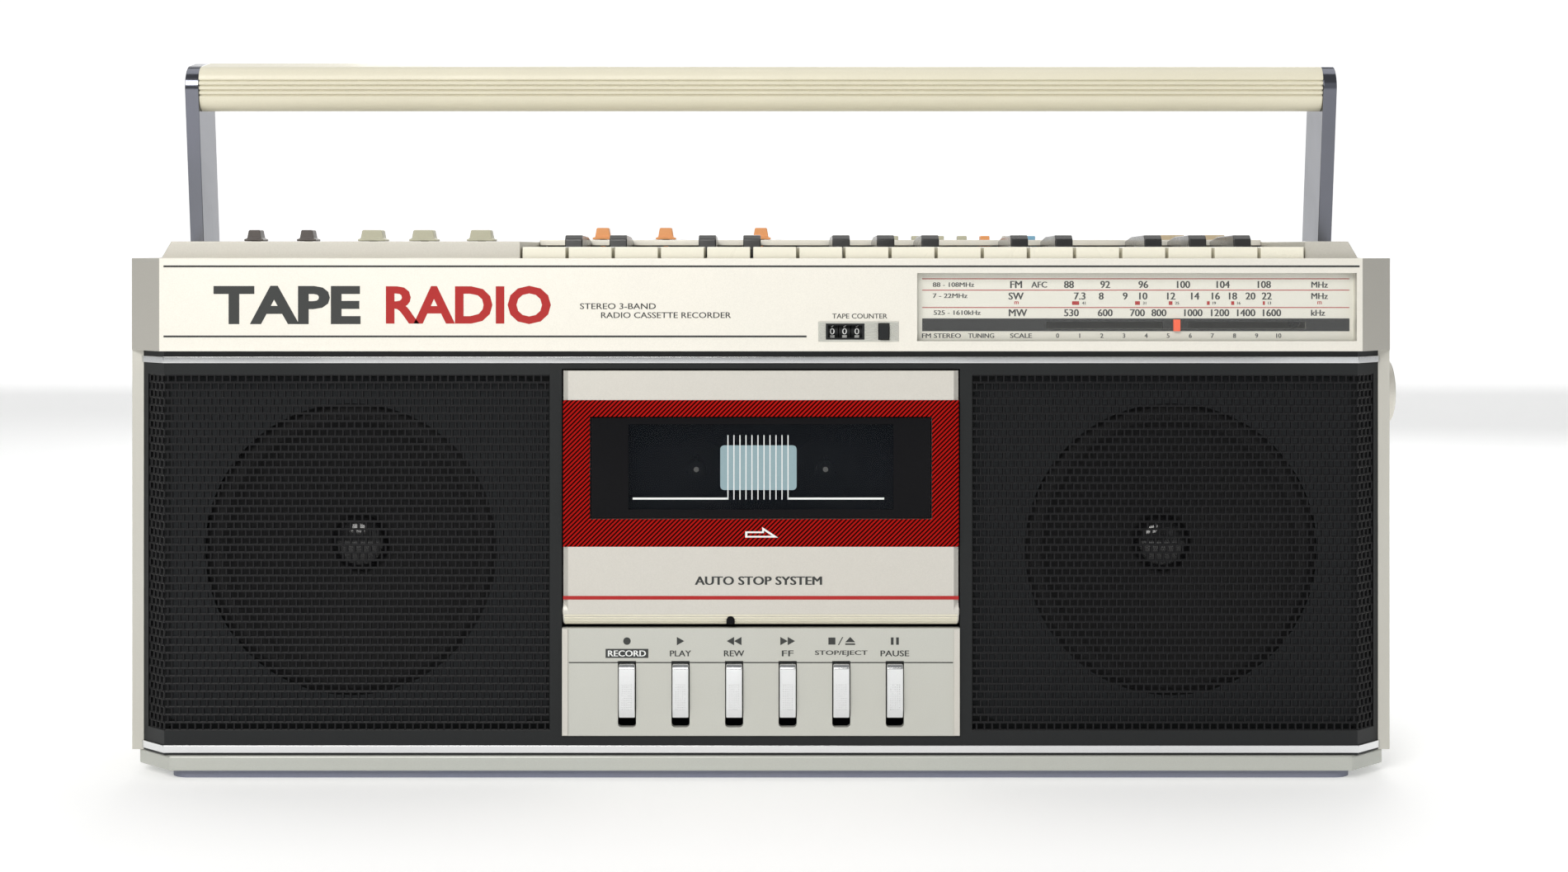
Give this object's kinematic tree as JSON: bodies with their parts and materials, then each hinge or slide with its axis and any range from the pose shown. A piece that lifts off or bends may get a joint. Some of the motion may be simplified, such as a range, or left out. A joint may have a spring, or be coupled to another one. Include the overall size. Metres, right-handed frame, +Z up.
{
  "type": "portable radio cassette recorder",
  "caption": "Portable stereo radio cassette recorder with folding handle, cassette deck, tuning dial, two loudspeakers and a mini piano keyboard on top.",
  "frame": {"origin": "on the foot plinth's underside, midway between its ends, 52 mm behind the front frame", "axes": "+X to the right as seen from the front, the front faces -Y, +Z up"},
  "size_m": [0.423, 0.1169, 0.2396],
  "materials": {
    "silver_plastic": "fine-textured warm silver paint",
    "foot_plastic": "dull blue-grey",
    "black_plastic": "semi-gloss black",
    "chrome": "bright plated",
    "grille_metal": "gloss black pressed mesh",
    "speaker_steel": "dark plated steel",
    "speaker_paper": "black paper cone",
    "light_grey_plastic": "satin light grey",
    "steel_plate": "zinc-plated sheet",
    "board": "printed circuit board",
    "dial_print": "printed dial",
    "clear_plastic": "clear moulded window",
    "pointer_red": "bright red-orange",
    "cream_plastic": "satin cream",
    "dark_brown_plastic": "dark brown",
    "orange_plastic": "orange",
    "blue_plastic": "blue",
    "tan_plastic": "tan",
    "ivory_plastic": "ivory key plastic",
    "tinted_window": "tinted clear window",
    "white_plastic": "white nylon",
    "brass": "machined flywheel"
  },
  "bodies": {
    "cabinet": {"base_tray": "silver_plastic", "base_foot": "foot_plastic", "front_frame": "black_plastic", "chrome_trims": "chrome", "rear_cabinet": "silver_plastic", "head_fascia": "silver_plastic", "top_cover": "silver_plastic", "key_panel": "silver_plastic", "speaker_grilles": "grille_metal", "speaker_frames": "speaker_steel", "speaker_cones": "speaker_paper", "transport_panel": "light_grey_plastic", "deck_chassis": "steel_plate", "drive_motor": "steel_plate", "circuit_boards": "board", "dial_plate": "dial_print", "dial_window": "clear_plastic", "counter_housing": "silver_plastic", "battery_cover": "silver_plastic", "case_screws": "steel_plate", "rear_sockets": "black_plastic"},
    "handle": {"handle_arms": "chrome", "handle_grip": "cream_plastic"},
    "door": {"cassette_door": "cream_plastic", "door_window": "tinted_window", "cassette_holder": "steel_plate"},
    "record_key_body": {"record_key": "chrome"},
    "play_key_body": {"play_key": "chrome"},
    "rewind_key_body": {"rewind_key": "chrome"},
    "fast_forward_key_body": {"fast_forward_key": "chrome"},
    "stop_eject_key_body": {"stop_eject_key": "chrome"},
    "pause_key_body": {"pause_key": "chrome"},
    "head_bridge_body": {"head_bridge": "steel_plate"},
    "supply_spindle_body": {"supply_spindle": "white_plastic"},
    "take_up_spindle_body": {"take_up_spindle": "white_plastic"},
    "capstan_flywheel_body": {"capstan_flywheel": "brass"},
    "tuning_knob_body": {"tuning_knob": "silver_plastic"},
    "dial_pointer_body": {"dial_pointer": "pointer_red"},
    "counter_wheels_body": {"counter_wheels": "black_plastic"},
    "counter_reset_button_body": {"counter_reset_button": "black_plastic"},
    "function_knob_body": {"function_knob": "dark_brown_plastic"},
    "band_knob_body": {"band_knob": "dark_brown_plastic"},
    "volume_knob_body": {"volume_knob": "cream_plastic"},
    "balance_knob_body": {"balance_knob": "cream_plastic"},
    "tone_knob_body": {"tone_knob": "cream_plastic"},
    "piano_volume_slider_body": {"piano_volume_slider": "orange_plastic"},
    "rhythm_volume_slider_body": {"rhythm_volume_slider": "orange_plastic"},
    "tempo_slider_body": {"tempo_slider": "orange_plastic"},
    "start_button_body": {"start_button": "tan_plastic"},
    "fill_in_button_body": {"fill_in_button": "tan_plastic"},
    "white_keys_a_body": {"white_keys_a": "ivory_plastic"},
    "white_keys_b_body": {"white_keys_b": "ivory_plastic"},
    "black_keys_body": {"black_keys": "black_plastic"},
    "rhythm_button_1_body": {"rhythm_button_1": "cream_plastic"},
    "rhythm_button_2_body": {"rhythm_button_2": "cream_plastic"},
    "rhythm_button_3_body": {"rhythm_button_3": "cream_plastic"},
    "rhythm_button_4_body": {"rhythm_button_4": "cream_plastic"},
    "rhythm_button_5_body": {"rhythm_button_5": "orange_plastic"},
    "rhythm_button_6_body": {"rhythm_button_6": "cream_plastic"},
    "rhythm_button_7_body": {"rhythm_button_7": "blue_plastic"}
  },
  "joints": [
    {"name": "handle_fold", "type": "hinge", "parent": "cabinet", "child": "handle", "pos_m": [0, 0.042, 0.15], "axis": [1, 0, 0], "range_deg": [-99, 0]},
    {"name": "door_open", "type": "hinge", "parent": "cabinet", "child": "door", "pos_m": [0, -0.0495, 0.0545], "axis": [1, 0, 0], "range_deg": [0, 32]},
    {"name": "record_key_press", "type": "slide", "parent": "cabinet", "child": "record_key_body", "axis": [0, 0, -1], "range_m": [0, 0.0023], "stiffness_N_per_m": 400, "springref_m": -0.0015},
    {"name": "play_key_press", "type": "slide", "parent": "cabinet", "child": "play_key_body", "axis": [0, 0, -1], "range_m": [0, 0.0023], "stiffness_N_per_m": 400, "springref_m": -0.0015},
    {"name": "rewind_key_press", "type": "slide", "parent": "cabinet", "child": "rewind_key_body", "axis": [0, 0, -1], "range_m": [0, 0.0023], "stiffness_N_per_m": 400, "springref_m": -0.0015},
    {"name": "fast_forward_key_press", "type": "slide", "parent": "cabinet", "child": "fast_forward_key_body", "axis": [0, 0, -1], "range_m": [0, 0.0023], "stiffness_N_per_m": 400, "springref_m": -0.0015},
    {"name": "stop_eject_key_press", "type": "slide", "parent": "cabinet", "child": "stop_eject_key_body", "axis": [0, 0, -1], "range_m": [0, 0.0023], "stiffness_N_per_m": 400, "springref_m": -0.0015},
    {"name": "pause_key_press", "type": "slide", "parent": "cabinet", "child": "pause_key_body", "axis": [0, 0, -1], "range_m": [0, 0.0023], "stiffness_N_per_m": 400, "springref_m": -0.0015},
    {"name": "head_bridge_slide", "type": "slide", "parent": "cabinet", "child": "head_bridge_body", "axis": [0, 0, 1], "range_m": [0, 0.003]},
    {"name": "supply_spin", "type": "hinge", "parent": "cabinet", "child": "supply_spindle_body", "pos_m": [-0.02125, -0.036, 0.1], "axis": [0, 1, 0], "continuous": true},
    {"name": "take_up_spin", "type": "hinge", "parent": "cabinet", "child": "take_up_spindle_body", "pos_m": [0.02125, -0.036, 0.1], "axis": [0, 1, 0], "continuous": true},
    {"name": "capstan_spin", "type": "hinge", "parent": "cabinet", "child": "capstan_flywheel_body", "pos_m": [0.014, -0.036, 0.066], "axis": [0, 1, 0], "continuous": true},
    {"name": "tuning_turn", "type": "hinge", "parent": "cabinet", "child": "tuning_knob_body", "pos_m": [0.205, -0.005, 0.1236], "axis": [1, 0, 0], "range_deg": [-183, 183]},
    {"name": "pointer_slide", "type": "slide", "parent": "cabinet", "child": "dial_pointer_body", "axis": [1, 0, 0], "range_m": [-0.0402, 0.0402]},
    {"name": "counter_spin", "type": "hinge", "parent": "cabinet", "child": "counter_wheels_body", "pos_m": [0, -0.0498, 0.1458], "axis": [1, 0, 0], "continuous": true},
    {"name": "counter_reset_press", "type": "slide", "parent": "cabinet", "child": "counter_reset_button_body", "axis": [0, 1, 0], "range_m": [0, 0.0012], "stiffness_N_per_m": 200, "springref_m": -0.001},
    {"name": "function_knob_slide", "type": "slide", "parent": "cabinet", "child": "function_knob_body", "axis": [0, 1, 0], "range_m": [-0.005, 0.005]},
    {"name": "band_knob_slide", "type": "slide", "parent": "cabinet", "child": "band_knob_body", "axis": [0, 1, 0], "range_m": [-0.005, 0.005]},
    {"name": "volume_knob_slide", "type": "slide", "parent": "cabinet", "child": "volume_knob_body", "axis": [0, 1, 0], "range_m": [-0.005, 0.005]},
    {"name": "balance_knob_slide", "type": "slide", "parent": "cabinet", "child": "balance_knob_body", "axis": [0, 1, 0], "range_m": [-0.005, 0.005]},
    {"name": "tone_knob_slide", "type": "slide", "parent": "cabinet", "child": "tone_knob_body", "axis": [0, 1, 0], "range_m": [-0.005, 0.005]},
    {"name": "piano_volume_slider_slide", "type": "slide", "parent": "cabinet", "child": "piano_volume_slider_body", "axis": [0, 1, 0], "range_m": [-0.005, 0.005]},
    {"name": "rhythm_volume_slider_slide", "type": "slide", "parent": "cabinet", "child": "rhythm_volume_slider_body", "axis": [0, 1, 0], "range_m": [-0.005, 0.005]},
    {"name": "tempo_slider_slide", "type": "slide", "parent": "cabinet", "child": "tempo_slider_body", "axis": [0, 1, 0], "range_m": [-0.005, 0.005]},
    {"name": "rhythm_button_1_press", "type": "slide", "parent": "cabinet", "child": "rhythm_button_1_body", "axis": [0, 0, -1], "range_m": [0, 0.0012], "stiffness_N_per_m": 200, "springref_m": -0.001},
    {"name": "rhythm_button_2_press", "type": "slide", "parent": "cabinet", "child": "rhythm_button_2_body", "axis": [0, 0, -1], "range_m": [0, 0.0012], "stiffness_N_per_m": 200, "springref_m": -0.001},
    {"name": "rhythm_button_3_press", "type": "slide", "parent": "cabinet", "child": "rhythm_button_3_body", "axis": [0, 0, -1], "range_m": [0, 0.0012], "stiffness_N_per_m": 200, "springref_m": -0.001},
    {"name": "rhythm_button_4_press", "type": "slide", "parent": "cabinet", "child": "rhythm_button_4_body", "axis": [0, 0, -1], "range_m": [0, 0.0012], "stiffness_N_per_m": 200, "springref_m": -0.001},
    {"name": "rhythm_button_5_press", "type": "slide", "parent": "cabinet", "child": "rhythm_button_5_body", "axis": [0, 0, -1], "range_m": [0, 0.0012], "stiffness_N_per_m": 200, "springref_m": -0.001},
    {"name": "rhythm_button_6_press", "type": "slide", "parent": "cabinet", "child": "rhythm_button_6_body", "axis": [0, 0, -1], "range_m": [0, 0.0012], "stiffness_N_per_m": 200, "springref_m": -0.001},
    {"name": "rhythm_button_7_press", "type": "slide", "parent": "cabinet", "child": "rhythm_button_7_body", "axis": [0, 0, -1], "range_m": [0, 0.0012], "stiffness_N_per_m": 200, "springref_m": -0.001},
    {"name": "start_button_press", "type": "slide", "parent": "cabinet", "child": "start_button_body", "axis": [0, 0, -1], "range_m": [0, 0.0012], "stiffness_N_per_m": 200, "springref_m": -0.001},
    {"name": "fill_in_button_press", "type": "slide", "parent": "cabinet", "child": "fill_in_button_body", "axis": [0, 0, -1], "range_m": [0, 0.0012], "stiffness_N_per_m": 200, "springref_m": -0.001},
    {"name": "white_keys_a_press", "type": "hinge", "parent": "cabinet", "child": "white_keys_a_body", "pos_m": [0, 0.034, 0.1686], "axis": [1, 0, 0], "range_deg": [0, 2.3], "stiffness_Nm_per_rad": 1, "springref_deg": -3.44},
    {"name": "white_keys_b_press", "type": "hinge", "parent": "cabinet", "child": "white_keys_b_body", "pos_m": [0, 0.034, 0.1662], "axis": [1, 0, 0], "range_deg": [0, 2.3], "stiffness_Nm_per_rad": 1, "springref_deg": -3.44},
    {"name": "black_keys_press", "type": "hinge", "parent": "cabinet", "child": "black_keys_body", "pos_m": [0, 0.034, 0.1712], "axis": [1, 0, 0], "range_deg": [0, 2.3], "stiffness_Nm_per_rad": 1, "springref_deg": -3.44}
  ],
  "couplings": [
    {"joint": "head_bridge_slide", "follows": "play_key_press", "ratio": 1.3},
    {"joint": "pointer_slide", "follows": "tuning_turn", "m_per_rad": 0.0125},
    {"joint": "counter_spin", "follows": "take_up_spin", "ratio": 0.4}
  ]
}
